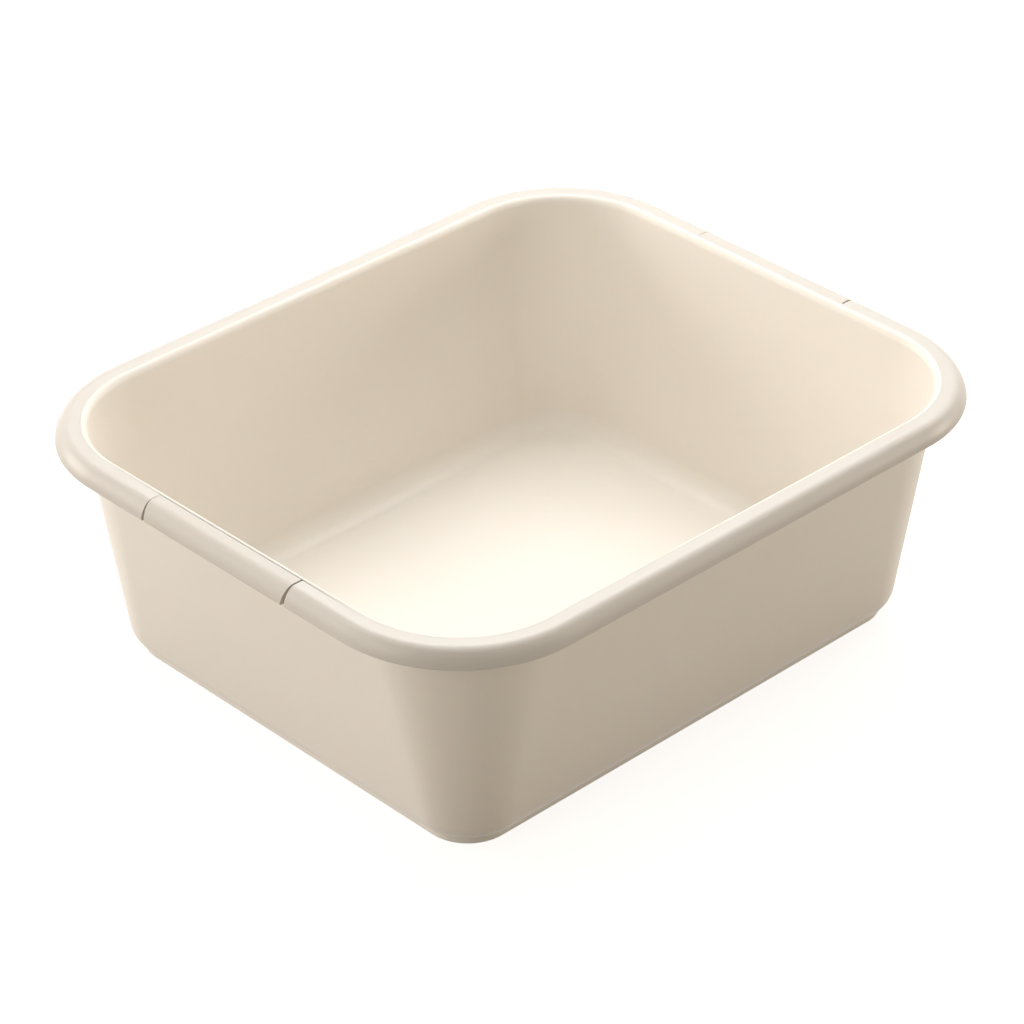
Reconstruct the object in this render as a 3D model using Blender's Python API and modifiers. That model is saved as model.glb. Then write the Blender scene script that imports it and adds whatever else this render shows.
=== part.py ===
"""A rectangular dishpan: a moulded basin, the trim round its lip and two snap-on grips.

Metres, +Z up. The long sides run along X. The origin is the middle of the
rectangle that the foot stands on, at the height of the surface beneath it.
"""

import math

import bmesh
import bpy

# Overall size, over the rim's widest line
LENGTH = 0.380
WIDTH = 0.318
HEIGHT = 0.130

# Basin: a thin shell whose walls lean outwards
WALL = 0.0022
BASE_LENGTH = 0.304
BASE_WIDTH = 0.2525
BASE_CORNER = 0.026
BASE_FILLET = 0.0145

# Foot: a low rib under the floor, a little way in from the walls
FOOT_HEIGHT = 0.001
FOOT_WIDTH = 0.003
FOOT_SET_IN = 0.0065

# Rim: its outer side leans out from a shoulder at the top to the widest line, low down
RIM_CORNER = 0.071
RIM_OVERHANG = 0.013
RIM_HEIGHT = 0.0095
RIM_SIDE_LEAN = math.radians(28)
RIM_SHOULDER = 0.0026
RIM_LOWER_EDGE = 0.0012
RIM_INNER_ROUND = 0.0045

# Trim: a channel that wraps the basin's lip and hooks under its skirt
TRIM_TOP = 0.002
TRIM_SIDE = 0.0022
HOOK_THICKNESS = 0.0022
HOOK_REACH = 0.0005
HOOK_CHAMFER = 0.001
SKIRT_CHAMFER = 0.0007

# Grips: each fills a recess in the outer part of the trim, on a short side
GRIP_LENGTH = 0.098
GRIP_DEPTH = 0.012
GRIP_CATCH = 0.0022
GRIP_END_GAP = 0.0005
GRIP_END_SLANT = 0.0018
GRIP_END_BEVEL = 0.0003

# Clearance between pieces that fit together
CLEARANCE = 0.0003

# How finely arcs are stepped
CORNER_STEPS = 12
FILLET_STEPS = 6
SECTION_STEPS = 5

# Colours as they look, in sRGB
IVORY = "EBDFD0"
SOFT_WHITE = "F1EEE8"

# Sizes that follow from those above. The trim's inner edge is flush with the leaning wall
WALL_LEAN = math.atan(((LENGTH - BASE_LENGTH + WIDTH - BASE_WIDTH) / 4 - RIM_OVERHANG) / HEIGHT)
LIP_TOP = TRIM_TOP + CLEARANCE
RIM_WIDTH = RIM_OVERHANG + WALL / math.cos(WALL_LEAN) + LIP_TOP * math.tan(WALL_LEAN)
LIP_UNDERSIDE = LIP_TOP + WALL
SKIRT_INNER = TRIM_SIDE + CLEARANCE + WALL
SKIRT_BOTTOM = RIM_HEIGHT - HOOK_THICKNESS - CLEARANCE

# The rim's inner rounding ends where the trim does, and the lip turns down into a skirt that
# lies parallel to the rim's side
RIM_INNER_ANGLE = math.pi - math.asin(1 - TRIM_TOP / RIM_INNER_ROUND)
LIP_TURN = math.pi / 2 - RIM_SIDE_LEAN

# The fillet is tangent to the floor and to the leaning wall, which it meets at FILLET_TOP
FILLET_SWEEP = math.pi / 2 - WALL_LEAN
FILLET_TOP = FOOT_HEIGHT + BASE_FILLET * (1 - math.cos(FILLET_SWEEP))


def linear(hex_colour):
    """Turns an sRGB hex colour into Blender's linear values, with alpha."""
    values = []
    for start in (0, 2, 4):
        value = int(hex_colour[start:start + 2], 16) / 255
        low = value <= 0.04045
        values.append(value / 12.92 if low else ((value + 0.055) / 1.055) ** 2.4)
    return (*values, 1.0)


def plastic(name, hex_colour, roughness):
    """A moulded plastic of one colour."""
    material = bpy.data.materials.new(name)
    material.use_nodes = True
    shader = material.node_tree.nodes["Principled BSDF"]
    shader.inputs["Base Color"].default_value = linear(hex_colour)
    shader.inputs["Roughness"].default_value = roughness
    shader.inputs["Metallic"].default_value = 0.0
    return material


def add_object(name, mesh, collection, parent=None):
    """Puts a mesh into the scene as a named object, shaded smooth with sharp edges kept."""
    mesh.shade_smooth()
    mesh.set_sharp_from_angle(angle=math.radians(30))
    item = bpy.data.objects.new(name, mesh)
    collection.objects.link(item)
    item.parent = parent
    return item


def add_tool(name, mesh, collection):
    """Adds a shape that only cuts or joins another one."""
    item = add_object(name, mesh, collection)
    item.hide_render = True
    item.display_type = "WIRE"
    return item


def boolean(target, tool, operation):
    """Cuts the target with the tool, or joins the tool to it."""
    modifier = target.modifiers.new(tool.name, "BOOLEAN")
    modifier.object = tool
    modifier.operation = operation
    modifier.solver = "EXACT"


def outline(half_length, half_width, corner, z):
    """The points of a rounded rectangle at height z, anticlockwise seen from above."""
    points = []
    for quarter, (x_side, y_side) in enumerate(((1, 1), (-1, 1), (-1, -1), (1, -1))):
        for step in range(CORNER_STEPS + 1):
            angle = math.pi / 2 * (quarter + step / CORNER_STEPS)
            x = x_side * (half_length - corner) + corner * math.cos(angle)
            y = y_side * (half_width - corner) + corner * math.sin(angle)
            points.append((x, y, z))
    return points


def wall_outline(wall_height, inset, z):
    """The walls' outer outline at wall_height, drawn in by inset and set at height z."""
    share = wall_height / HEIGHT
    top_length = LENGTH - 2 * RIM_OVERHANG
    top_width = WIDTH - 2 * RIM_OVERHANG
    top_corner = RIM_CORNER - RIM_OVERHANG
    half_length = (BASE_LENGTH + (top_length - BASE_LENGTH) * share) / 2
    half_width = (BASE_WIDTH + (top_width - BASE_WIDTH) * share) / 2
    corner = BASE_CORNER + (top_corner - BASE_CORNER) * share
    return outline(half_length - inset, half_width - inset, corner - inset, z)


def rim_outline(inset, depth):
    """The rim's outline, drawn in from its widest line by inset, at depth below its top."""
    return outline(LENGTH / 2 - inset, WIDTH / 2 - inset, RIM_CORNER - inset, HEIGHT - depth)


def skin(bm, rows, closed):
    """Joins outlines of the same number of points, row by row, into one surface."""
    loops = [[bm.verts.new(point) for point in row] for row in rows]
    pairs = list(zip(loops, loops[1:]))
    if closed:
        pairs.append((loops[-1], loops[0]))
    for lower, upper in pairs:
        for index in range(len(lower)):
            after = (index + 1) % len(lower)
            bm.faces.new((lower[index], lower[after], upper[after], upper[index]))
    return loops


def ring_mesh(name, rows):
    """A closed ring: its section runs through the rows and back to the first."""
    bm = bmesh.new()
    skin(bm, rows, closed=True)
    bmesh.ops.recalc_face_normals(bm, faces=bm.faces)
    mesh = bpy.data.meshes.new(name)
    bm.to_mesh(mesh)
    bm.free()
    return mesh


def box_mesh(name, low, high):
    """A box between two corners."""
    size = [b - a for a, b in zip(low, high)]
    middle = [(a + b) / 2 for a, b in zip(low, high)]
    bm = bmesh.new()
    bmesh.ops.create_cube(bm, size=1.0)
    bmesh.ops.scale(bm, vec=size, verts=bm.verts)
    bmesh.ops.translate(bm, vec=middle, verts=bm.verts)
    mesh = bpy.data.meshes.new(name)
    bm.to_mesh(mesh)
    bm.free()
    return mesh


def arc(inset, depth, radius, first, last):
    """Points of an arc in the rim's section. The angle is 0 outwards and a right angle upwards."""
    points = []
    for step in range(SECTION_STEPS + 1):
        angle = first + (last - first) * step / SECTION_STEPS
        points.append((inset - radius * math.cos(angle), depth - radius * math.sin(angle)))
    return points


def side_inset(depth, beneath):
    """Inset, at a depth, of a line that lies beneath the rim's leaning side and parallel to it."""
    rise = RIM_HEIGHT - RIM_LOWER_EDGE - depth
    across = (beneath - RIM_LOWER_EDGE) / math.cos(RIM_SIDE_LEAN)
    return RIM_LOWER_EDGE + across + rise * math.tan(RIM_SIDE_LEAN)


def lip_bend(distance):
    """The chamfered bend from the skirt to the lip, at a distance outside its inner side."""
    depth = LIP_UNDERSIDE - distance
    corner = side_inset(depth, SKIRT_INNER - distance)
    setback = SKIRT_CHAMFER + distance * (math.tan(LIP_TURN / 2) - math.tan(LIP_TURN / 4))
    down = setback * math.cos(RIM_SIDE_LEAN)
    return [(corner - setback * math.sin(RIM_SIDE_LEAN), depth + down), (corner + setback, depth)]


def fillet_point(angle):
    """Inset from the wall and height of the fillet's outer side at an angle from the floor."""
    inset = BASE_FILLET * (math.sin(FILLET_SWEEP) - math.sin(angle))
    return inset, FOOT_HEIGHT + BASE_FILLET * (1 - math.cos(angle))


def fillet_height(inset):
    """Height of the fillet's outer side at an inset from the wall."""
    sine = max(math.sin(FILLET_SWEEP) - inset / BASE_FILLET, 0.0)
    return fillet_point(math.asin(sine))[1]


def make_basin(parts, tools, parent):
    """The shell: floor, fillet, walls, and a lip that turns down into a short skirt."""
    rows = []
    for step in range(FILLET_STEPS + 1):
        inset, z = fillet_point(FILLET_SWEEP * step / FILLET_STEPS)
        rows.append(wall_outline(FILLET_TOP, inset, z))
    lip_height = HEIGHT - LIP_UNDERSIDE
    rows.append(wall_outline(lip_height, 0.0, lip_height))
    for inset, depth in reversed(lip_bend(0.0)):
        rows.append(rim_outline(inset, depth))
    rows.append(rim_outline(side_inset(SKIRT_BOTTOM, SKIRT_INNER), SKIRT_BOTTOM))
    bm = bmesh.new()
    loops = skin(bm, rows, closed=False)
    bm.faces.new(list(reversed(loops[0])))
    mesh = bpy.data.meshes.new("basin")
    bm.to_mesh(mesh)
    bm.free()
    basin = add_object("basin", mesh, parts, parent)
    thickness = basin.modifiers.new("wall", "SOLIDIFY")
    thickness.thickness = WALL
    thickness.offset = -1.0
    thickness.use_even_offset = True
    thickness.use_quality_normals = True

    # The foot reaches a third of the wall's thickness into the floor, so that the two are one
    outer = FOOT_SET_IN
    inner = FOOT_SET_IN + FOOT_WIDTH
    foot_rows = []
    for inset, z in ((outer, 0.0), (outer, fillet_height(outer) + WALL / 3),
                     (inner, fillet_height(inner) + WALL / 3), (inner, 0.0)):
        foot_rows.append(wall_outline(FILLET_TOP, inset, z))
    foot = add_tool("foot_rib", ring_mesh("foot_rib", foot_rows), tools)
    boolean(basin, foot, "UNION")
    return basin


def rim_side():
    """The section's outer side, which the trim and the grips share: flush, from top to underside."""
    shoulder = side_inset(RIM_SHOULDER, RIM_SHOULDER)
    points = arc(shoulder, RIM_SHOULDER, RIM_SHOULDER, math.pi / 2, RIM_SIDE_LEAN)
    lower_edge = RIM_HEIGHT - RIM_LOWER_EDGE
    return points + arc(RIM_LOWER_EDGE, lower_edge, RIM_LOWER_EDGE, RIM_SIDE_LEAN, -math.pi / 2)


def lip_channel():
    """The section's inner corner, which the trim and the grips share: it follows the lip."""
    bottom = SKIRT_BOTTOM + CLEARANCE
    return [(side_inset(bottom, TRIM_SIDE), bottom)] + lip_bend(WALL + CLEARANCE)


def make_trim(parts, tools, parent):
    """The trim: over the lip, down its outer side and hooked under the skirt."""
    round_centre = RIM_WIDTH + RIM_INNER_ROUND * math.cos(RIM_INNER_ANGLE)
    section = arc(round_centre, RIM_INNER_ROUND, RIM_INNER_ROUND, RIM_INNER_ANGLE, math.pi / 2)
    section += rim_side()
    hook = side_inset(SKIRT_BOTTOM, SKIRT_INNER) + HOOK_REACH
    section.append((hook - HOOK_CHAMFER, RIM_HEIGHT))
    section.append((hook, RIM_HEIGHT - HOOK_CHAMFER))
    section.append((hook, SKIRT_BOTTOM + CLEARANCE))
    section += lip_channel()
    rows = [rim_outline(inset, depth) for inset, depth in section]
    trim = add_object("rim_trim", ring_mesh("rim_trim", rows), parts, parent)

    # A recess for each grip, through the outer part of the trim
    reach = RIM_HEIGHT
    half = GRIP_LENGTH / 2 + GRIP_END_GAP
    for name, side in (("recess_left", -1), ("recess_right", 1)):
        edges = sorted((side * (LENGTH / 2 - GRIP_DEPTH), side * (LENGTH / 2 + reach)))
        low = (edges[0], -half, HEIGHT - RIM_HEIGHT - reach)
        high = (edges[1], half, HEIGHT + reach)
        boolean(trim, add_tool(name, box_mesh(name, low, high), tools), "DIFFERENCE")
    return trim


def grip_mesh():
    """One grip, as it lies on the +X side: a hooked section with ends that slant in below."""
    section = [(GRIP_DEPTH - CLEARANCE, 0.0)]
    section += rim_side()
    catch_top = LIP_UNDERSIDE + SKIRT_CHAMFER + CLEARANCE
    catch_outer = side_inset(catch_top, SKIRT_INNER + CLEARANCE)
    catch_inner = catch_outer + GRIP_CATCH
    skirt_end = SKIRT_BOTTOM + CLEARANCE
    section.append((catch_inner - HOOK_CHAMFER, RIM_HEIGHT))
    section.append((catch_inner, RIM_HEIGHT - HOOK_CHAMFER))
    section.append((catch_inner, catch_top))
    section.append((catch_outer, catch_top))
    section.append((side_inset(skirt_end, SKIRT_INNER + CLEARANCE), skirt_end))
    section += lip_channel()
    section.append((GRIP_DEPTH - CLEARANCE, TRIM_TOP))

    bm = bmesh.new()
    weight = bm.edges.layers.float.new("bevel_weight_edge")
    ends = []
    for side in (-1, 1):
        points = []
        for inset, depth in section:
            y = side * (GRIP_LENGTH / 2 - GRIP_END_SLANT * depth / RIM_HEIGHT)
            points.append(bm.verts.new((LENGTH / 2 - inset, y, HEIGHT - depth)))
        end = bm.faces.new(points)
        for edge in end.edges:
            edge[weight] = 1.0
        ends.append(points)
    for index in range(len(section)):
        after = (index + 1) % len(section)
        bm.faces.new((ends[0][index], ends[0][after], ends[1][after], ends[1][index]))
    bmesh.ops.recalc_face_normals(bm, faces=bm.faces)
    mesh = bpy.data.meshes.new("grip")
    bm.to_mesh(mesh)
    bm.free()
    return mesh


def make_grips(parts, parent):
    """Two equal grips, one turned half round to the other."""
    mesh = grip_mesh()
    grips = []
    for name, turn in (("grip_left", math.pi), ("grip_right", 0.0)):
        grip = add_object(name, mesh, parts, parent)
        grip.rotation_euler.z = turn
        ends = grip.modifiers.new("end_edges", "BEVEL")
        ends.limit_method = "WEIGHT"
        ends.width = GRIP_END_BEVEL
        ends.segments = 2
        grips.append(grip)
    return grips


def main():
    """Clears the scene and builds the dishpan."""
    for item in list(bpy.data.objects):
        bpy.data.objects.remove(item, do_unlink=True)
    parts = bpy.data.collections.new("dishpan")
    tools = bpy.data.collections.new("tools")
    for collection in (parts, tools):
        bpy.context.scene.collection.children.link(collection)
    parent = bpy.data.objects.new("dishpan", None)
    parts.objects.link(parent)

    basin = make_basin(parts, tools, parent)
    trim = make_trim(parts, tools, parent)
    grips = make_grips(parts, parent)
    basin.data.materials.append(plastic("ivory_polypropylene", IVORY, 0.42))
    trim.data.materials.append(plastic("soft_white_polypropylene", SOFT_WHITE, 0.40))
    grips[0].data.materials.append(plastic("soft_white_elastomer", SOFT_WHITE, 0.55))


main()
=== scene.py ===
# %% [markdown]
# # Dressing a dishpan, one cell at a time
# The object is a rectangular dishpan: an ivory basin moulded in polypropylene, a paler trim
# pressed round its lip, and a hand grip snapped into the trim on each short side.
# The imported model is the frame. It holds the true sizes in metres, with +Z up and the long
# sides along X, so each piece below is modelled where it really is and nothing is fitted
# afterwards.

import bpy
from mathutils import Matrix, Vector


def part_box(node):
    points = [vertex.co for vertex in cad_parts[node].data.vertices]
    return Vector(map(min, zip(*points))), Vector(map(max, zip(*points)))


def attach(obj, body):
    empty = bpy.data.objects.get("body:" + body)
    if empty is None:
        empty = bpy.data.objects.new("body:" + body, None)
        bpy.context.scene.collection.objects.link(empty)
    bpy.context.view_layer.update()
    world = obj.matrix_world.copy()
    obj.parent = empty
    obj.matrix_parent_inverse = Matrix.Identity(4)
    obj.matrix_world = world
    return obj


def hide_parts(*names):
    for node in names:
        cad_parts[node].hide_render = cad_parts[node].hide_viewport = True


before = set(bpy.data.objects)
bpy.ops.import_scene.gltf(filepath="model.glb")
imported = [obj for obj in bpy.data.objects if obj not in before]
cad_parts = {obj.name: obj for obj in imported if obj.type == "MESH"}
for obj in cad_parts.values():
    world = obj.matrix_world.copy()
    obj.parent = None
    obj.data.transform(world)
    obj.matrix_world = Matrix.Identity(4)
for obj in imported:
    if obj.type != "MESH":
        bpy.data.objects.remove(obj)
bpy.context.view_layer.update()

# %% [markdown]
# ## Sizes
# A box can tell where a piece ends, so the rim's reach, the lip's place and the grips' ends
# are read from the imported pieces. They could be typed in again, but then a change of the model
# would leave this file behind. What a box can't tell, such as a radius or a wall's thickness,
# is named here once, in millimetres turned to metres.

# %% Sizes from the frame, and the few that it can't tell
import math

import bmesh
import bpy
from mathutils import Vector

MM = 0.001
trim_low, trim_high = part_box("rim_trim")
basin_low, basin_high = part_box("basin")
grip_low, grip_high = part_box("grip_right")

HALF_LENGTH, HALF_WIDTH, TOP = trim_high
RIM_HEIGHT = TOP - trim_low.z
LIP_TOP = TOP - basin_high.z

WALL = 2.2 * MM
DRAFT = 0.03 * MM
OVERHANG = 13.0 * MM
RIM_CORNER = 71.0 * MM
BASE_HALF_LENGTH = 152.0 * MM
BASE_HALF_WIDTH = 126.25 * MM
BASE_CORNER = 26.0 * MM
FOOT_HEIGHT = 1.0 * MM

lean = math.atan(((HALF_LENGTH + HALF_WIDTH - BASE_HALF_LENGTH - BASE_HALF_WIDTH) / 2 - OVERHANG) / TOP)
print("rim", round(HALF_LENGTH * 2, 4), round(HALF_WIDTH * 2, 4), "walls lean", round(math.degrees(lean), 2))

# %% [markdown]
# ## Rings
# A moulded pan has no straight edge in its plan: every level of it is a rounded rectangle. It
# could be cut from a box with wide bevels, but the corner's radius grows from 26 mm at the
# floor to 71 mm at the rim, and a bevel can't do that. So the pan is built like a hull, from
# frames: each level is a plane whose four corners are bevelled round, and the levels are then
# bridged. A ring is written as half its length, half its width, its corner's radius and its
# height. Two rings of one height have no up or down between them, and a bridge may then turn
# one of them over, so no two neighbours share a height. A moulding's faces slope a little
# anyway, to come out of the mould: that slope is the draft.

# %% Start a piece, and add a ring to it
CORNER_STEPS = 28
SAME_PLACE = 0.01 * MM


def start_piece(name):
    """Opens an empty mesh of that name in edit mode, with nothing else selected."""
    bpy.ops.object.select_all(action="DESELECT")
    bpy.ops.mesh.primitive_plane_add()
    piece = bpy.context.object
    piece.name = name
    piece.data.name = name
    bpy.ops.object.mode_set(mode="EDIT")
    bpy.ops.mesh.select_mode(type="VERT")
    bpy.ops.mesh.delete(type="VERT")
    return piece


def add_ring(ring):
    """Adds a rounded rectangle: a plane at its size and place, its corners bevelled round."""
    half_length, half_width, corner, height = ring
    bpy.ops.mesh.select_all(action="DESELECT")
    bpy.ops.mesh.primitive_plane_add(size=2.0, location=(0, 0, height))
    bpy.ops.transform.resize(value=(half_length, half_width, 1), center_override=(0, 0, height))
    bpy.ops.mesh.bevel(offset=corner, segments=CORNER_STEPS, affect="VERTICES")
    bpy.ops.mesh.delete(type="ONLY_FACE")


def lies_on(point, ring):
    """Tells whether a point is on a ring's outline."""
    half_length, half_width, corner, height = ring
    across = abs(point.x) - half_length + corner
    along = abs(point.y) - half_width + corner
    beyond = math.hypot(max(across, 0), max(along, 0)) + min(max(across, along), 0)
    return abs(beyond - corner) + abs(point.z - height) < SAME_PLACE


def select_rings(piece, *rings):
    """Selects the edges of rings by their place, in edit mode."""
    bpy.ops.mesh.select_all(action="DESELECT")
    cage = bmesh.from_edit_mesh(piece.data)
    for vertex in cage.verts:
        vertex.select = any(lies_on(vertex.co, ring) for ring in rings)
    cage.select_flush(True)
    bmesh.update_edit_mesh(piece.data)


def close_up(piece):
    """Points all faces outwards, leaves edit mode and prints what was made."""
    bpy.ops.mesh.select_all(action="SELECT")
    bpy.ops.mesh.remove_doubles(threshold=SAME_PLACE)
    bpy.ops.mesh.normals_make_consistent(inside=False)
    bpy.ops.object.mode_set(mode="OBJECT")
    print(piece.name, "has", len(piece.data.polygons), "faces")


def loft(name, rings):
    """Bridges rings one after the other, fills the first and the last, and returns the shell."""
    piece = start_piece(name)
    add_ring(rings[0])
    for before, ring in zip(rings, rings[1:]):
        add_ring(ring)
        select_rings(piece, before, ring)
        bpy.ops.mesh.bridge_edge_loops()
    for end in (rings[0], rings[-1]):
        select_rings(piece, end)
        bpy.ops.mesh.edge_face_add()
    close_up(piece)
    return piece


# %% [markdown]
# ## Lines that the rings follow
# Two outlines rule the pan. The wall's outer outline leans outwards evenly from the base to
# the rim, and the rim's outline is the widest line, drawn in. A third function bends the floor
# up into the wall: a fillet that is tangent to both. Roundings of the rim are arcs in its
# section. A rim like this one isn't a plain roll. Its inner side rounds down into the wall,
# its top is flat in the middle, and its outer side swells out from a round shoulder to the
# widest line, low down. What lies under that side, such as the lip's skirt, leans out with it,
# and is straight.

# %% Wall, rim, fillet, arc and what leans with the rim's side
SIDE_LEAN = math.radians(28)
RIM_LOWER_EDGE = 1.2 * MM
INNER_ROUND = 4.5 * MM


def wall_ring(level, inset, height):
    """The wall's outer outline at a level, drawn in by inset and set at a height."""
    share = level / TOP
    half_length = BASE_HALF_LENGTH + (HALF_LENGTH - OVERHANG - BASE_HALF_LENGTH) * share
    half_width = BASE_HALF_WIDTH + (HALF_WIDTH - OVERHANG - BASE_HALF_WIDTH) * share
    corner = BASE_CORNER + (RIM_CORNER - OVERHANG - BASE_CORNER) * share
    return half_length - inset, half_width - inset, corner - inset, height


def rim_ring(inset, depth):
    """The rim's widest outline, drawn in by inset, at a depth below the rim's top."""
    return HALF_LENGTH - inset, HALF_WIDTH - inset, RIM_CORNER - inset, TOP - depth


def fillet(radius, set_in, floor_height, steps):
    """Rings that bend from a floor up into the wall's line, which is set in by set_in."""
    sweep = math.pi / 2 - lean
    level = floor_height + radius * (1 - math.cos(sweep))
    rings = []
    for step in range(steps + 1):
        angle = sweep * step / steps
        inset = set_in + radius * (math.sin(sweep) - math.sin(angle))
        rings.append(wall_ring(level, inset, floor_height + radius * (1 - math.cos(angle))))
    return rings


def arc(inset, depth, radius, first, last, steps):
    """Points of an arc in the rim's section, round a centre. 0 degrees is outwards, 90 is up."""
    points = []
    for step in range(steps + 1):
        angle = math.radians(first + (last - first) * step / steps)
        points.append((inset - radius * math.cos(angle), depth - radius * math.sin(angle)))
    return points


def side_inset(depth, beneath):
    """Inset, at a depth, of a straight line that leans as the rim's side does, beneath it."""
    rise = RIM_HEIGHT - RIM_LOWER_EDGE - depth
    return RIM_LOWER_EDGE + (beneath - RIM_LOWER_EDGE) / math.cos(SIDE_LEAN) + rise * math.tan(SIDE_LEAN)


wall_inset = WALL / math.cos(lean)
round_centre = OVERHANG + wall_inset + INNER_ROUND * (math.tan(lean) - 1 / math.cos(lean))


def round_angle(inset):
    """Where the rounding that leads from the wall to the rim's top has an inset, in degrees."""
    return 180 - math.degrees(math.acos((inset - round_centre) / INNER_ROUND))


print("the wall rounds over from", round((round_centre + INNER_ROUND) * 1000, 2), "mm inside the widest line")

# %% [markdown]
# ## The basin
# The basin is one injection moulding with an even wall of 2.2 mm. Outside it starts as a panel
# under the floor, steps down to the foot rib that it stands on, and bends up through a 14.5 mm
# fillet into the leaning wall. At the top it folds out into a lip and down into a short skirt,
# both under the trim. Inside, the wall runs down again to the fillet's inner side and the floor.
# A Solidify modifier would give the even wall with less work, but it would also copy the foot
# rib to the inside. So the rings run all the way round, outside first.

# %% Rings of the basin's outside
BASE_FILLET = 14.5 * MM
FILLET_STEPS = 14
FOOT_OUTER = 6.5 * MM
FOOT_INNER = 9.5 * MM
FOOT_EDGE = 0.4 * MM
PANEL_MARGIN = 4.0 * MM

outside = fillet(BASE_FILLET, 0.0, FOOT_HEIGHT, FILLET_STEPS)
panel = wall_ring(outside[0][3] + BASE_FILLET, BASE_FILLET + PANEL_MARGIN, FOOT_HEIGHT - DRAFT)
fillet_level = outside[-1][3]
foot_edges = arc(FOOT_INNER - FOOT_EDGE, FOOT_EDGE + DRAFT, FOOT_EDGE, 180, 90, steps=3)
foot_edges += arc(FOOT_OUTER + FOOT_EDGE, FOOT_EDGE, FOOT_EDGE, 90, 0, steps=3)


def fillet_underside(inset):
    """Height of the outer fillet at an inset from the wall's line."""
    sine = math.sin(math.pi / 2 - lean) - inset / BASE_FILLET
    return FOOT_HEIGHT + BASE_FILLET * (1 - math.sqrt(1 - sine * sine))


foot = [wall_ring(fillet_level, FOOT_INNER + FOOT_EDGE, fillet_underside(FOOT_INNER + FOOT_EDGE))]
foot += [wall_ring(fillet_level, inset, height) for inset, height in foot_edges]
foot.append(wall_ring(fillet_level, FOOT_OUTER, fillet_underside(FOOT_OUTER)))
bend = [ring for ring in outside if ring[3] > fillet_underside(FOOT_OUTER) + FOOT_EDGE]
print("foot rings", len(foot), "fillet rings", len(bend))

# %% [markdown]
# The lip is folded like a gutter: out from the wall, round, and down. Its bend against the
# wall is a small arc, so that light rolls off it where it shows through the grips' slits. On
# the inside the wall rounds over almost to the rim's top, and leaves a rebate for the trim. The
# seam lies up there, where no shadow falls, so the pan runs into its rim without a line.

# %% Rings of the lip, and of the inside
FLOOR_TOP = FOOT_HEIGHT + WALL
INNER_FILLET = BASE_FILLET - WALL
TRIM_WALL = 2.2 * MM
FIT = 0.3 * MM
LIP_BEND = 1.2 * MM
LIP_ROUND = 2.0 * MM
SKIRT_EDGE = 0.7 * MM
SKIRT_RISE = 2.5 * MM
SEAM = 0.05 * MM
TRIM_INSIDE = 12.6 * MM
skirt_under = TRIM_WALL + FIT
skirt_bottom = RIM_HEIGHT - SKIRT_RISE
lip_underside = LIP_TOP + WALL
lean_degrees = math.degrees(SIDE_LEAN)

lip = [wall_ring(TOP - lip_underside - LIP_BEND, 0.0, TOP - lip_underside - LIP_BEND)]
lip += [rim_ring(OVERHANG + inset, lip_underside + depth)
        for inset, depth in arc(-LIP_BEND, LIP_BEND, LIP_BEND, 180, 90, steps=4)[1:]]
lip += [rim_ring(*point) for point in (
    (side_inset(lip_underside, skirt_under + WALL) + SKIRT_EDGE, lip_underside + DRAFT),
    (side_inset(lip_underside + SKIRT_EDGE, skirt_under + WALL), lip_underside + SKIRT_EDGE),
    (side_inset(skirt_bottom, skirt_under + WALL), skirt_bottom - DRAFT),
    (side_inset(skirt_bottom, skirt_under), skirt_bottom))]
round_depth = LIP_TOP + LIP_ROUND
lip += [rim_ring(*point) for point in arc(side_inset(round_depth, skirt_under + LIP_ROUND), round_depth,
                                          LIP_ROUND, lean_degrees, 90, steps=4)]
lip.append(rim_ring(TRIM_INSIDE + SEAM, LIP_TOP + DRAFT))
lip += [rim_ring(*point) for point in arc(round_centre, INNER_ROUND, INNER_ROUND,
                                          round_angle(TRIM_INSIDE + SEAM), 180 - math.degrees(lean), steps=8)]
inside = fillet(INNER_FILLET, wall_inset, FLOOR_TOP, FILLET_STEPS)
inside.reverse()

basin = loft("moulded_basin", [panel, *foot, *bend, *lip, *inside])

# %% [markdown]
# ## The trim
# The trim is a channel of one even section that runs round the pan, so it is made as a
# picture frame would be: the section is traced once, point by point, then pulled along each
# straight side and spun round each corner. Rings would do it too, but this way shows the
# section in one place. Its inner edge lies in the basin's rebate, flush with the rounding. Its
# outer side is three arcs that run into each other: a wide one for the side, one for the
# shoulder, whose radius follows so that it ends level on top, and a small one underneath.

# %% Trace a section and run it round the rim
SECTION_STEPS = 10
HOOK = 6.4 * MM
HOOK_CHAMFER = 1.0 * MM
PLATE = LIP_TOP - SEAM


def trace(points, y):
    """Traces a closed section at y, point by point, from (inset, depth) pairs."""
    places = [Vector((HALF_LENGTH - inset, y, TOP - depth)) for inset, depth in points]
    bpy.ops.mesh.primitive_plane_add(size=MM, location=places[0])
    bpy.ops.mesh.merge(type="CENTER")
    for place, after in zip(places, places[1:]):
        bpy.ops.mesh.extrude_vertices_move(TRANSFORM_OT_translate={"value": after - place})
    bpy.ops.mesh.select_all(action="SELECT")
    bpy.ops.mesh.edge_face_add()


def roll(arcs):
    """Points of arcs that run into each other, each with its centre, radius, first and last angle."""
    points = []
    for (inset, depth), radius, first, last in arcs:
        points = points[:-1] + arc(inset, depth, radius, first, last, SECTION_STEPS)
    return points


def next_centre(centre, radius, next_radius, degrees):
    """Centre of an arc that goes on from another one, at an angle, with its own radius."""
    angle = math.radians(degrees)
    grow = next_radius - radius
    return centre[0] + grow * math.cos(angle), centre[1] + grow * math.sin(angle)


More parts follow.
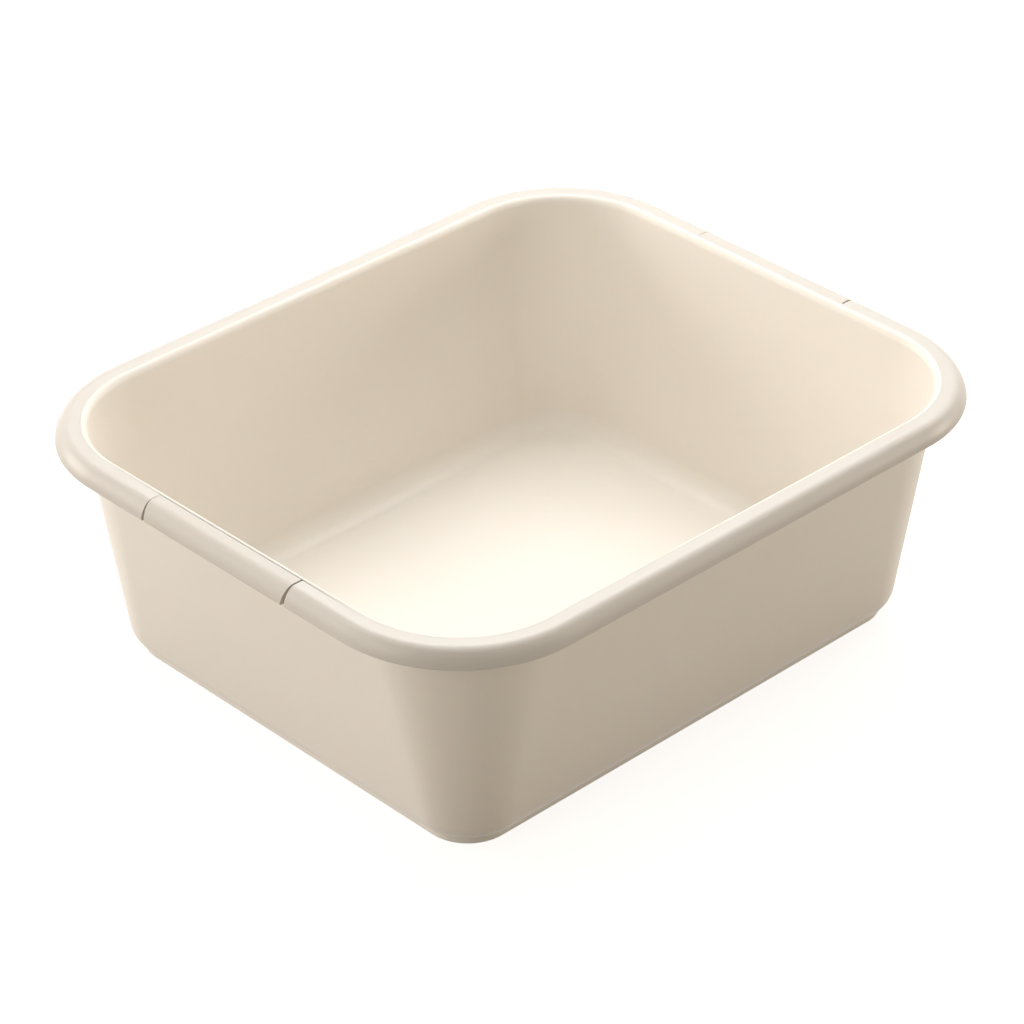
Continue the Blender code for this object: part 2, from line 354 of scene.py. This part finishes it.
SIDE_ROUND = 12.0 * MM
SIDE_FOOT_ANGLE = 10.0
SIDE_TOP_ANGLE = 45.0
edge_centre = (RIM_LOWER_EDGE, RIM_HEIGHT - RIM_LOWER_EDGE)
side_centre = next_centre(edge_centre, RIM_LOWER_EDGE, SIDE_ROUND, SIDE_FOOT_ANGLE)
side_sine = math.sin(math.radians(SIDE_TOP_ANGLE))
shoulder = (side_centre[1] - SIDE_ROUND * side_sine) / (1 - side_sine)
shoulder_centre = next_centre(side_centre, SIDE_ROUND, shoulder, SIDE_TOP_ANGLE)
print("shoulder's radius", round(shoulder * 1000, 2), "mm")
print("flat top", round((round_centre - shoulder_centre[0]) * 1000, 2), "mm wide")

rim_side = roll((
    (shoulder_centre, shoulder, 90, SIDE_TOP_ANGLE),
    (side_centre, SIDE_ROUND, SIDE_TOP_ANGLE, SIDE_FOOT_ANGLE),
    (edge_centre, RIM_LOWER_EDGE, SIDE_FOOT_ANGLE, -90)))
channel = [(side_inset(skirt_bottom + FIT, TRIM_WALL), skirt_bottom + FIT)]
round_depth = PLATE + LIP_ROUND
channel += arc(side_inset(round_depth, TRIM_WALL + LIP_ROUND), round_depth,
               LIP_ROUND, lean_degrees, 90, steps=4)
trim_section = arc(round_centre, INNER_ROUND, INNER_ROUND, round_angle(TRIM_INSIDE), 90, steps=3)
trim_section += rim_side
trim_section += [(HOOK - HOOK_CHAMFER, RIM_HEIGHT), (HOOK, RIM_HEIGHT - HOOK_CHAMFER),
                 (HOOK, skirt_bottom + FIT)]
trim_section += channel + [(TRIM_INSIDE, PLATE)]

trim = start_piece("pressed_trim")
trace(trim_section, 0.0)
bpy.ops.mesh.delete(type="ONLY_FACE")
centre_x = HALF_LENGTH - RIM_CORNER
centre_y = HALF_WIDTH - RIM_CORNER
sides = (
    ((0, centre_y, 0), (centre_x, centre_y)),
    ((-2 * centre_x, 0, 0), (-centre_x, centre_y)),
    ((0, -2 * centre_y, 0), (-centre_x, -centre_y)),
    ((2 * centre_x, 0, 0), (centre_x, -centre_y)))
bpy.ops.mesh.select_all(action="SELECT")
for move, (x, y) in sides:
    bpy.ops.mesh.extrude_region_move(TRANSFORM_OT_translate={"value": move})
    bpy.ops.mesh.spin(steps=CORNER_STEPS, angle=-math.pi / 2, center=(x, y, 0), axis=(0, 0, 1))
bpy.ops.mesh.extrude_region_move(TRANSFORM_OT_translate={"value": (0, centre_y, 0)})
close_up(trim)

# %% [markdown]
# ## Recesses for the grips
# On each short side most of the trim's width is missing for the length of a grip. On the real
# part a slide in the mould leaves that gap. Here a box cuts it with a Boolean. The fresh edges
# at the recess's ends are found by their place, in the planes of the cut, and a narrow bevel
# breaks them, since no moulded edge is truly sharp.

# %% Cut the recesses
RECESS_GAP = 0.05 * MM
END_GAP = 0.45 * MM
END_EDGE = 0.2 * MM
SQUARE_EDGE = math.radians(50)
recess_depth = HALF_LENGTH - grip_low.x + RECESS_GAP
recess_half = grip_high.y + END_GAP
reach = RIM_HEIGHT


def apply_modifier(piece, kind, **settings):
    """Adds a modifier to a piece, sets it and applies it."""
    bpy.ops.object.select_all(action="DESELECT")
    bpy.context.view_layer.objects.active = piece
    piece.select_set(True)
    modifier = piece.modifiers.new(kind.lower(), kind)
    for name, value in settings.items():
        setattr(modifier, name, value)
    bpy.ops.object.modifier_apply(modifier=modifier.name)


for side in (-1, 1):
    x = side * (HALF_LENGTH - recess_depth + (recess_depth + reach) / 2)
    bpy.ops.object.select_all(action="DESELECT")
    bpy.ops.mesh.primitive_cube_add(size=1.0, location=(x, 0, TOP - RIM_HEIGHT / 2))
    cutter = bpy.context.object
    cutter.scale = (recess_depth + reach, 2 * recess_half, RIM_HEIGHT + 2 * reach)
    bpy.ops.object.transform_apply(location=True, rotation=True, scale=True)
    apply_modifier(trim, "BOOLEAN", object=cutter, operation="DIFFERENCE", solver="EXACT")
    bpy.data.objects.remove(cutter, do_unlink=True)

bpy.ops.object.select_all(action="DESELECT")
bpy.context.view_layer.objects.active = trim
trim.select_set(True)
bpy.ops.object.mode_set(mode="EDIT")
bpy.ops.mesh.select_all(action="DESELECT")
cage = bmesh.from_edit_mesh(trim.data)
for edge in cage.edges:
    in_plane = all(abs(abs(v.co.y) - recess_half) < SAME_PLACE for v in edge.verts)
    outside_strip = all(abs(v.co.x) > HALF_LENGTH - recess_depth - SAME_PLACE for v in edge.verts)
    edge.select = in_plane and outside_strip and edge.calc_face_angle() > SQUARE_EDGE
bmesh.update_edit_mesh(trim.data)
bpy.ops.mesh.bevel(offset=END_EDGE, segments=2, affect="EDGES")
bpy.ops.object.mode_set(mode="OBJECT")
print("trim with recesses has", len(trim.data.polygons), "faces")

# %% [markdown]
# ## The grips
# A grip is a hook of softer plastic that fills the recess flush with the rim. Its section is
# traced as the trim's was, with the same outer side, and pulled to the grip's length. Its ends
# aren't square: the slit beside them is narrow on top, and opens outwards and downwards. A
# bisect with a slanting plane gives that in one cut, and leaves the cut's edges selected,
# ready to be rounded with a bevel. Both grips have slid to the far end of their recesses, as
# loose as their clearance lets them, so that on each only the near slit shows well.

# %% Model one grip, then copy it to the other side
CATCH = 9.2 * MM
SLIT_OUTWARDS = 0.4 * MM
SLIT_DOWNWARDS = 1.5 * MM
SLIDE = 0.35 * MM
CATCH_DROP = 1.0 * MM
grip_depth = HALF_LENGTH - grip_low.x
grip_half = grip_high.y
catch_top = lip_underside + CATCH_DROP

grip_section = arc(round_centre, INNER_ROUND, INNER_ROUND, round_angle(grip_depth), 90, steps=1)
grip_section += rim_side
grip_section += [(CATCH - HOOK_CHAMFER, RIM_HEIGHT), (CATCH, RIM_HEIGHT - HOOK_CHAMFER), (CATCH, catch_top)]
grip_section += [(side_inset(depth, skirt_under + WALL + FIT), depth)
                 for depth in (catch_top, skirt_bottom + FIT)]
grip_section += channel + [(grip_depth, PLATE)]

right_grip = start_piece("right_hand_grip")
trace(grip_section, -grip_half)
bpy.ops.mesh.extrude_region_move(TRANSFORM_OT_translate={"value": (0, 2 * grip_half, 0)})
for side in (-1, 1):
    bpy.ops.mesh.select_all(action="SELECT")
    bpy.ops.mesh.bisect(
        plane_co=(HALF_LENGTH - grip_depth, side * grip_half, TOP),
        plane_no=(SLIT_OUTWARDS / grip_depth, side, -SLIT_DOWNWARDS / RIM_HEIGHT),
        use_fill=True, clear_outer=True)
    bpy.ops.mesh.bevel(offset=END_EDGE, segments=2, affect="EDGES")
close_up(right_grip)

bpy.ops.object.select_all(action="DESELECT")
right_grip.select_set(True)
bpy.context.view_layer.objects.active = right_grip
bpy.ops.object.duplicate()
left_grip = bpy.context.object
left_grip.name = "left_hand_grip"
left_grip.data.name = "left_hand_grip"
bpy.ops.transform.rotate(value=math.pi, orient_axis="Z", center_override=(0, 0, 0))
right_grip.select_set(True)
bpy.ops.transform.translate(value=(0, SLIDE, 0))
bpy.ops.object.transform_apply(location=True, rotation=True, scale=True)
for grip in (left_grip, right_grip):
    print(grip.name, "spans y", [round(f(v.co.y for v in grip.data.vertices), 5) for f in (min, max)])

# %% [markdown]
# ## Shading
# Every face is shaded smooth, except across edges sharper than 30 degrees. That alone would
# bend the light on the flat walls, because their corners share a normal with the small faces
# of the roundings beside them. Weighted normals let the large flat faces win, so the walls
# look flat and the roundings look round.

# %% Shade the pieces
SHARP = math.radians(30)
pieces = (basin, trim, left_grip, right_grip)
for piece in pieces:
    bpy.ops.object.select_all(action="DESELECT")
    bpy.context.view_layer.objects.active = piece
    piece.select_set(True)
    bpy.ops.object.shade_smooth_by_angle(angle=SHARP)
    apply_modifier(piece, "WEIGHTED_NORMAL", keep_sharp=True)
print("shaded", [piece.name for piece in pieces])

# %% [markdown]
# ## Colour and nodes
# Colours are written as sRGB hex values, as a paint card would give them, and one function
# turns them to the linear values that Blender computes with. One more function adds a node
# with its settings and links, so that each material below reads as a short recipe.

# %% Helpers for materials
def linear(hex_colour):
    """Turns an sRGB hex colour into linear values, with alpha."""
    values = [int(hex_colour[start:start + 2], 16) / 255 for start in (0, 2, 4)]
    return (*(v / 12.92 if v <= 0.04045 else ((v + 0.055) / 1.055) ** 2.4 for v in values), 1.0)


def add_node(tree, kind, settings=None, **inputs):
    """Adds a node. An input is a value, or the socket that feeds it; _ stands for a space."""
    node = tree.nodes.new(kind)
    for name, value in (settings or {}).items():
        setattr(node, name, value)
    for name, value in inputs.items():
        socket = node.inputs[name.replace("_", " ")]
        if isinstance(value, bpy.types.NodeSocket):
            tree.links.new(value, socket)
        else:
            socket.default_value = value
    return node


# %% [markdown]
# ## Moulded plastics
# Polypropylene is a waxy, slightly translucent plastic. The mould's steel is eroded to a fine
# grain, which prints a satin skin on it: wide soft highlights and no mirror image. Three
# things make that here. A little light enters the surface and comes out nearby. The grain is
# a bump, really about 0.2 mm wide, drawn 0.7 mm wide so that it shows at all. And the walls
# of such a pan are never quite flat: long, shallow waves, a hand's width apart, bend what
# the surface reflects. The colour drifts by a hair too, where the pigment mixed unevenly.

# %% One recipe for the three plastics
GRAIN = 0.7 * MM
WAVE = 80.0 * MM
DRIFT = 45.0 * MM
SATIN_DRIFT = 0.04
POLYPROPYLENE_IOR = 1.49
GLOW_DEPTH = 2.0 * MM
GLOW_REACH = (1.0, 0.75, 0.55)


def moulded_plastic(name, colour, drift_colour, roughness, grain_depth, wave_depth, glow):
    """A moulded plastic: its colour and what it drifts to, its grain and its waves."""
    material = bpy.data.materials.new(name)
    material.use_nodes = True
    tree = material.node_tree
    shader = tree.nodes["Principled BSDF"]
    place = add_node(tree, "ShaderNodeTexCoord").outputs["Object"]

    drift = add_node(tree, "ShaderNodeTexNoise", Vector=place, Scale=1 / DRIFT, Detail=3.0)
    tint = add_node(tree, "ShaderNodeMix", {"data_type": "RGBA"}, Factor=drift.outputs["Fac"],
                    A=linear(colour), B=linear(drift_colour))
    tree.links.new(tint.outputs["Result"], shader.inputs["Base Color"])

    grain = add_node(tree, "ShaderNodeTexNoise", Vector=place, Scale=1 / GRAIN, Detail=2.0)
    satin = add_node(tree, "ShaderNodeMapRange", Value=grain.outputs["Fac"],
                     To_Min=roughness - SATIN_DRIFT, To_Max=roughness + SATIN_DRIFT)
    tree.links.new(satin.outputs["Result"], shader.inputs["Roughness"])

    wave = add_node(tree, "ShaderNodeTexNoise", Vector=place, Scale=1 / WAVE, Detail=1.0)
    waves = add_node(tree, "ShaderNodeBump", Height=wave.outputs["Fac"], Distance=wave_depth)
    bumps = add_node(tree, "ShaderNodeBump", Height=grain.outputs["Fac"], Distance=grain_depth,
                     Normal=waves.outputs["Normal"])
    tree.links.new(bumps.outputs["Normal"], shader.inputs["Normal"])

    shader.inputs["IOR"].default_value = POLYPROPYLENE_IOR
    shader.inputs["Subsurface Weight"].default_value = glow
    shader.inputs["Subsurface Radius"].default_value = GLOW_REACH
    shader.inputs["Subsurface Scale"].default_value = GLOW_DEPTH
    print(name, "is", colour)
    return material


basin.data.materials.append(moulded_plastic(
    "ivory_polypropylene", "EDE8E1", "EBE6DE",
    roughness=0.42, grain_depth=0.010 * MM, wave_depth=0.10 * MM, glow=0.15))
trim.data.materials.append(moulded_plastic(
    "soft_white_polypropylene", "D0CBC4", "CEC8C1",
    roughness=0.38, grain_depth=0.006 * MM, wave_depth=0.02 * MM, glow=0.15))
soft_plastic = moulded_plastic(
    "soft_white_elastomer", "CFCAC3", "CDC7BF",
    roughness=0.50, grain_depth=0.012 * MM, wave_depth=0.02 * MM, glow=0.20)
left_grip.data.materials.append(soft_plastic)
right_grip.data.materials.append(soft_plastic)

# %% [markdown]
# ## The floor and the world
# The pan stands on a plain pale floor with no horizon, as in a catalogue. White paper would do
# for it, but it throws so much light up that the shaded walls come out as light as the others.
# So the floor is a warm matt grey, and it glows for what looks at it straight or in a
# reflection: it reads as white there, still keeps the pan's shadow, and sends little light to
# the walls. The world is made the same way: white where it is looked at, and dim and a little
# warm for everything else.

# %% Make the floor and the world
FLOOR_SIZE = 12.0
FLOOR_GREY = (0.42, 0.395, 0.355, 1.0)
FLOOR_GLOW = 0.82
AMBIENT = (0.33, 0.295, 0.235, 1.0)
WHITE = (1.0, 1.0, 1.0, 1.0)


def seen_directly(tree):
    """A socket that is 1 for rays from the camera, reflections and clear things, and 0 for others."""
    path = add_node(tree, "ShaderNodeLightPath")
    straight = add_node(tree, "ShaderNodeMath", {"operation": "MAXIMUM"})
    tree.links.new(path.outputs["Is Camera Ray"], straight.inputs[0])
    tree.links.new(path.outputs["Is Transmission Ray"], straight.inputs[1])
    seen = add_node(tree, "ShaderNodeMath", {"operation": "MAXIMUM"})
    tree.links.new(straight.outputs[0], seen.inputs[0])
    tree.links.new(path.outputs["Is Glossy Ray"], seen.inputs[1])
    return seen.outputs[0]


bpy.ops.object.select_all(action="DESELECT")
bpy.ops.mesh.primitive_plane_add(size=FLOOR_SIZE, location=(0, 0, 0))
floor = bpy.context.object
floor.name = "pale_floor"

paper = bpy.data.materials.new("matt_backdrop_paper")
paper.use_nodes = True
tree = paper.node_tree
tree.nodes.clear()
matt = add_node(tree, "ShaderNodeBsdfDiffuse", Color=FLOOR_GREY)
strength = add_node(tree, "ShaderNodeMapRange", Value=seen_directly(tree), To_Min=0.0, To_Max=FLOOR_GLOW)
glow = add_node(tree, "ShaderNodeEmission", Color=WHITE, Strength=strength.outputs["Result"])
both = add_node(tree, "ShaderNodeAddShader")
tree.links.new(matt.outputs[0], both.inputs[0])
tree.links.new(glow.outputs[0], both.inputs[1])
add_node(tree, "ShaderNodeOutputMaterial", Surface=both.outputs[0])
floor.data.materials.append(paper)

world = bpy.data.worlds.new("pale_studio")
bpy.context.scene.world = world
world.use_nodes = True
tree = world.node_tree
tree.nodes.clear()
tint = add_node(tree, "ShaderNodeMixRGB", Fac=seen_directly(tree), Color1=AMBIENT, Color2=WHITE)
sky = add_node(tree, "ShaderNodeBackground", Color=tint.outputs["Color"], Strength=1.0)
add_node(tree, "ShaderNodeOutputWorld", Surface=sky.outputs[0])
print("floor", FLOOR_SIZE, "m, ambient light", AMBIENT[:3])

# %% [markdown]
# ## Light
# The light is soft and comes from above, and from low on either side of the pan but not from
# in front of its near corner. So the top of the rim and the pan's floor are brightest, the
# short left wall is light, the long front wall lies in a gentle shade, and the corner between
# them is darkest. Large area lamps do this, because a lamp's size is what makes its shadows
# soft. The lamps that stand low are a little warmer than those above.

# %% Place the lamps
NEUTRAL = (1.0, 1.0, 1.0)
WARM = (1.0, 0.95, 0.90)
WARMER = (1.0, 0.89, 0.77)


def add_lamp(name, place, size, power, colour):
    """A square area lamp that looks at the pan."""
    bpy.ops.object.light_add(type="AREA", location=place)
    lamp = bpy.context.object
    lamp.name = name
    lamp.data.size = size
    lamp.data.energy = power
    lamp.data.color = colour
    lamp.rotation_euler = (-Vector(place)).to_track_quat("-Z", "Y").to_euler()
    print(name, power, "W")


add_lamp("overhead_lamp", (0.0, 0.1, 2.6), size=1.6, power=10.5, colour=NEUTRAL)
add_lamp("far_lamp", (0.5, 0.55, 1.2), size=0.9, power=13.5, colour=NEUTRAL)
add_lamp("high_right_lamp", (1.7, 0.3, 1.6), size=1.2, power=10.0, colour=NEUTRAL)
add_lamp("left_lamp", (-2.6, 0.3, 1.0), size=1.4, power=17.4, colour=WARM)
add_lamp("low_left_lamp", (-1.5, 2.3, 0.6), size=1.2, power=34.8, colour=WARM)
add_lamp("front_right_lamp", (2.3, -1.7, 0.45), size=0.8, power=22.5, colour=WARMER)

# %% [markdown]
# ## Camera
# The pan is seen over its front left corner, from about 33 degrees above, through a long
# lens: its far and near sides come out almost alike in size. The camera's place was worked
# out by fitting the pan's known outline to the picture's outline.

# %% Place the camera
CAMERA_PLACE = (-1.13592, -1.176, 1.10924)
CAMERA_AIM = (0.5849, 0.60646, -0.53861)
SENSOR_WIDTH = 36.0
FOCAL_LENGTH = 140.42

bpy.ops.object.camera_add(location=CAMERA_PLACE)
camera = bpy.context.object
camera.rotation_euler = Vector(CAMERA_AIM).to_track_quat("-Z", "Y").to_euler()
camera.data.sensor_width = SENSOR_WIDTH
camera.data.lens = FOCAL_LENGTH
print("a lens of", FOCAL_LENGTH, "mm")
bpy.context.scene.camera = camera
bpy.context.scene.view_settings.view_transform = "Standard"

# %% [markdown]
# ## Attaching the pieces
# Each piece rides on the pan's one body and stands for the plain solid of the same part,
# which is hidden. The table beside each piece also lists the finish that it takes.

# %% Attach the pieces and hide the plain solids
for piece, node, finish in ((basin, "basin", "basin"), (trim, "rim_trim", "trim"),
                            (left_grip, "grip_left", "grip"), (right_grip, "grip_right", "grip")):
    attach(piece, "root")
    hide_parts(node)
